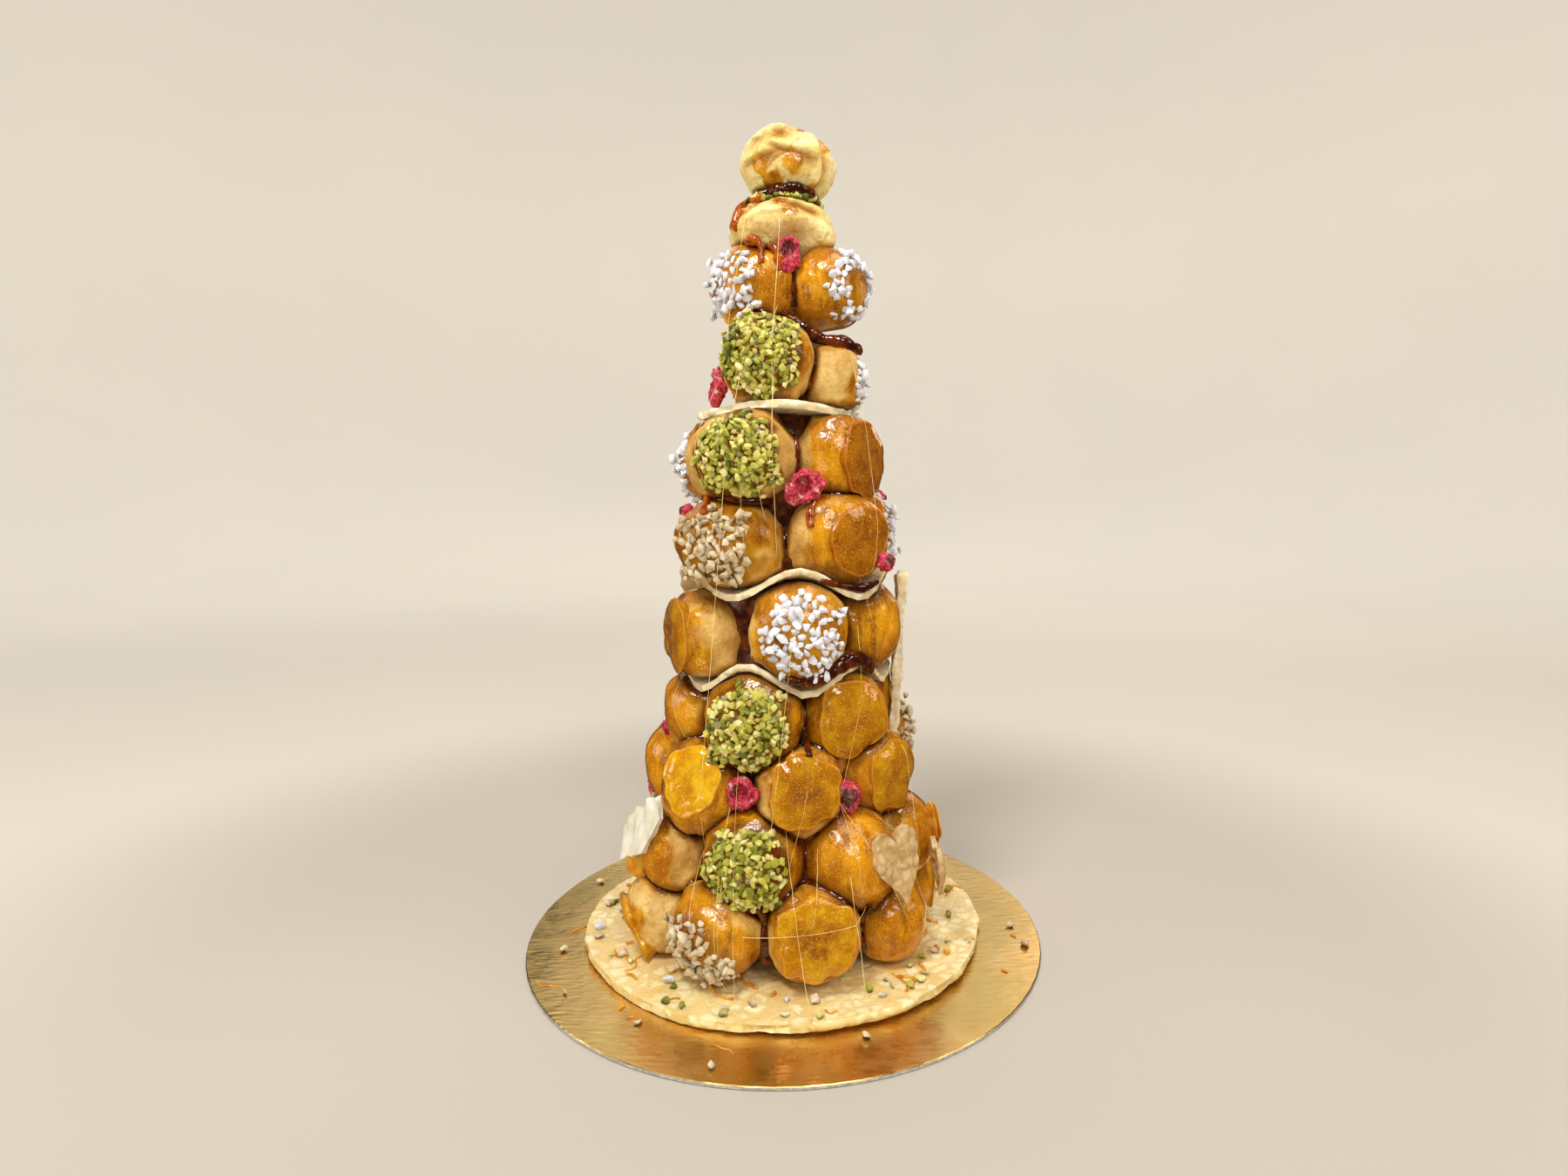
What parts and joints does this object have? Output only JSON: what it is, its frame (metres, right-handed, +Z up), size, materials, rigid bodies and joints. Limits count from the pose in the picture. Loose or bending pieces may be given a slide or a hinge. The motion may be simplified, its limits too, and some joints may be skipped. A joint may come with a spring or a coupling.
{
  "type": "croquembouche on a cake board",
  "caption": "Tall tapering tower of caramel-dipped cream puffs with wavy nougatine plates between its rows, on a nougatine disc and a round gold cake board.",
  "frame": {"origin": "centre of the cake board's underside", "axes": "+Z up along the tower, -Y towards the front, +X to the right as seen from the front"},
  "size_m": [0.24, 0.24, 0.3679],
  "materials": {
    "choux_dough": "baked choux crust under a thin glossy amber caramel",
    "nougatine": "pale nougatine with chopped almonds, satin",
    "gold_card": "gold foil embossed with a fine grain, on card",
    "sugar_shard": "pale translucent pulled sugar, glossy",
    "dried_fruit": "freeze-dried fruit, crumbly and matt"
  },
  "bodies": {
    "root": {"board": "gold_card", "choux_10_1": "choux_dough", "choux_11_1": "choux_dough", "choux_1_1": "choux_dough", "choux_1_2": "choux_dough", "choux_1_3": "choux_dough", "choux_1_4": "choux_dough", "choux_1_5": "choux_dough", "choux_1_6": "choux_dough", "choux_1_7": "choux_dough", "choux_1_8": "choux_dough", "choux_2_1": "choux_dough", "choux_2_2": "choux_dough", "choux_2_3": "choux_dough", "choux_2_4": "choux_dough", "choux_2_5": "choux_dough", "choux_2_6": "choux_dough", "choux_2_7": "choux_dough", "choux_3_1": "choux_dough", "choux_3_2": "choux_dough", "choux_3_3": "choux_dough", "choux_3_4": "choux_dough", "choux_3_5": "choux_dough", "choux_3_6": "choux_dough", "choux_4_1": "choux_dough", "choux_4_2": "choux_dough", "choux_4_3": "choux_dough", "choux_4_4": "choux_dough", "choux_4_5": "choux_dough", "choux_4_6": "choux_dough", "choux_5_1": "choux_dough", "choux_5_2": "choux_dough", "choux_5_3": "choux_dough", "choux_5_4": "choux_dough", "choux_5_5": "choux_dough", "choux_6_1": "choux_dough", "choux_6_2": "choux_dough", "choux_6_3": "choux_dough", "choux_6_4": "choux_dough", "choux_7_1": "choux_dough", "choux_7_2": "choux_dough", "choux_7_3": "choux_dough", "choux_7_4": "choux_dough", "choux_8_1": "choux_dough", "choux_8_2": "choux_dough", "choux_8_3": "choux_dough", "choux_9_1": "choux_dough", "choux_9_2": "choux_dough", "fruit_piece_left": "dried_fruit", "fruit_piece_low": "dried_fruit", "fruit_piece_middle": "dried_fruit", "fruit_piece_top": "dried_fruit", "nougatine_base": "nougatine", "nougatine_heart": "nougatine", "nougatine_panel": "nougatine", "nougatine_plate_high": "nougatine", "nougatine_plate_low": "nougatine", "nougatine_plate_mid": "nougatine", "nougatine_plate_top": "nougatine", "sugar_shard": "sugar_shard"}
  },
  "joints": []
}
